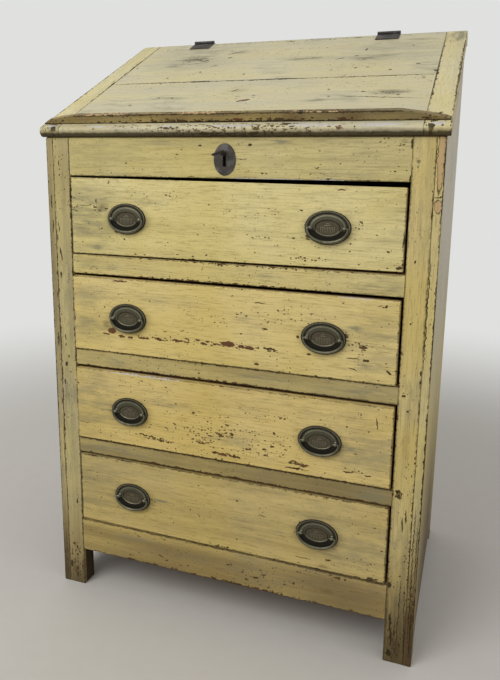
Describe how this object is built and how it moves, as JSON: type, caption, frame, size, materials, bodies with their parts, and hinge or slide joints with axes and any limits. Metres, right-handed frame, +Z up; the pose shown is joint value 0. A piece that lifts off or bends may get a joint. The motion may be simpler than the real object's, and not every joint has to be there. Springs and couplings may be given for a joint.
{
  "type": "slant-top desk with drawers",
  "caption": "Tall painted pine clerk's desk with a sloping hinged lid over a well, drawers with oval bail handles below, and short square feet.",
  "frame": {"origin": "on the floor, under the middle of the object's box", "axes": "+Z up, +X to the right as seen from the front, +Y from the front to the back"},
  "size_m": [0.731, 0.514, 1.1521],
  "materials": {
    "painted_pine": "worn yellow ochre paint over pine",
    "raw_pine": "bare aged pine",
    "black_iron": "dark worn iron",
    "dark_bronze": "stamped brass darkened to a grey green"
  },
  "bodies": {
    "carcass": {"left_side": "painted_pine", "right_side": "painted_pine", "left_front_post": "painted_pine", "right_front_post": "painted_pine", "back_panel": "raw_pine", "top_rail": "painted_pine", "drawer_rail_1": "painted_pine", "drawer_rail_2": "painted_pine", "drawer_rail_3": "painted_pine", "bottom_rail": "painted_pine", "well_floor": "raw_pine", "top_board": "painted_pine", "escutcheon": "black_iron", "lock_case": "black_iron", "left_hinge_fixed_leaf": "black_iron", "right_hinge_fixed_leaf": "black_iron"},
    "lid": {"lid_panel": "painted_pine", "lid_left_cleat": "painted_pine", "lid_right_cleat": "painted_pine", "book_ledge": "painted_pine", "left_hinge_lid_leaf": "black_iron", "right_hinge_lid_leaf": "black_iron"},
    "key_body": {"key": "black_iron"},
    "bolt_body": {"lock_bolt": "black_iron"},
    "drawer_1": {"drawer_1_front": "painted_pine", "drawer_1_left_side": "raw_pine", "drawer_1_right_side": "raw_pine", "drawer_1_back": "raw_pine", "drawer_1_bottom": "raw_pine", "drawer_1_left_backplate": "dark_bronze", "drawer_1_right_backplate": "dark_bronze"},
    "drawer_1_left_handle": {"drawer_1_left_bail": "dark_bronze"},
    "drawer_1_right_handle": {"drawer_1_right_bail": "dark_bronze"},
    "drawer_2": {"drawer_2_front": "painted_pine", "drawer_2_left_side": "raw_pine", "drawer_2_right_side": "raw_pine", "drawer_2_back": "raw_pine", "drawer_2_bottom": "raw_pine", "drawer_2_left_backplate": "dark_bronze", "drawer_2_right_backplate": "dark_bronze"},
    "drawer_2_left_handle": {"drawer_2_left_bail": "dark_bronze"},
    "drawer_2_right_handle": {"drawer_2_right_bail": "dark_bronze"},
    "drawer_3": {"drawer_3_front": "painted_pine", "drawer_3_left_side": "raw_pine", "drawer_3_right_side": "raw_pine", "drawer_3_back": "raw_pine", "drawer_3_bottom": "raw_pine", "drawer_3_left_backplate": "dark_bronze", "drawer_3_right_backplate": "dark_bronze"},
    "drawer_3_left_handle": {"drawer_3_left_bail": "dark_bronze"},
    "drawer_3_right_handle": {"drawer_3_right_bail": "dark_bronze"},
    "drawer_4": {"drawer_4_front": "painted_pine", "drawer_4_left_side": "raw_pine", "drawer_4_right_side": "raw_pine", "drawer_4_back": "raw_pine", "drawer_4_bottom": "raw_pine", "drawer_4_left_backplate": "dark_bronze", "drawer_4_right_backplate": "dark_bronze"},
    "drawer_4_left_handle": {"drawer_4_left_bail": "dark_bronze"},
    "drawer_4_right_handle": {"drawer_4_right_bail": "dark_bronze"}
  },
  "joints": [
    {"name": "lid_hinge", "type": "hinge", "parent": "carcass", "child": "lid", "pos_m": [0, 0.1915, 1.149], "axis": [-1, 0, 0], "range_deg": [0, 120]},
    {"name": "key_turn", "type": "hinge", "parent": "carcass", "child": "key_body", "pos_m": [0, -0.217, 0.8903], "axis": [0, 1, 0], "range_deg": [0, 90]},
    {"name": "bolt_slide", "type": "slide", "parent": "carcass", "child": "bolt_body", "axis": [0, 0, 1], "range_m": [0, 0.008]},
    {"name": "drawer_1_slide", "type": "slide", "parent": "carcass", "child": "drawer_1", "axis": [0, -1, 0], "range_m": [0, 0.32]},
    {"name": "drawer_1_left_bail_hinge", "type": "hinge", "parent": "drawer_1", "child": "drawer_1_left_handle", "pos_m": [-0.192, -0.2228, 0.772], "axis": [-1, 0, 0], "range_deg": [0, 180]},
    {"name": "drawer_1_right_bail_hinge", "type": "hinge", "parent": "drawer_1", "child": "drawer_1_right_handle", "pos_m": [0.182, -0.2228, 0.772], "axis": [-1, 0, 0], "range_deg": [0, 180]},
    {"name": "drawer_2_slide", "type": "slide", "parent": "carcass", "child": "drawer_2", "axis": [0, -1, 0], "range_m": [0, 0.32]},
    {"name": "drawer_2_left_bail_hinge", "type": "hinge", "parent": "drawer_2", "child": "drawer_2_left_handle", "pos_m": [-0.192, -0.2268, 0.586], "axis": [-1, 0, 0], "range_deg": [0, 180]},
    {"name": "drawer_2_right_bail_hinge", "type": "hinge", "parent": "drawer_2", "child": "drawer_2_right_handle", "pos_m": [0.182, -0.2268, 0.586], "axis": [-1, 0, 0], "range_deg": [0, 180]},
    {"name": "drawer_3_slide", "type": "slide", "parent": "carcass", "child": "drawer_3", "axis": [0, -1, 0], "range_m": [0, 0.32]},
    {"name": "drawer_3_left_bail_hinge", "type": "hinge", "parent": "drawer_3", "child": "drawer_3_left_handle", "pos_m": [-0.192, -0.2268, 0.401], "axis": [-1, 0, 0], "range_deg": [0, 180]},
    {"name": "drawer_3_right_bail_hinge", "type": "hinge", "parent": "drawer_3", "child": "drawer_3_right_handle", "pos_m": [0.182, -0.2268, 0.401], "axis": [-1, 0, 0], "range_deg": [0, 180]},
    {"name": "drawer_4_slide", "type": "slide", "parent": "carcass", "child": "drawer_4", "axis": [0, -1, 0], "range_m": [0, 0.32]},
    {"name": "drawer_4_left_bail_hinge", "type": "hinge", "parent": "drawer_4", "child": "drawer_4_left_handle", "pos_m": [-0.192, -0.2228, 0.221], "axis": [-1, 0, 0], "range_deg": [0, 180]},
    {"name": "drawer_4_right_bail_hinge", "type": "hinge", "parent": "drawer_4", "child": "drawer_4_right_handle", "pos_m": [0.182, -0.2228, 0.221], "axis": [-1, 0, 0], "range_deg": [0, 180]}
  ],
  "couplings": [
    {"joint": "bolt_slide", "follows": "key_turn", "m_per_rad": 0.005092}
  ]
}
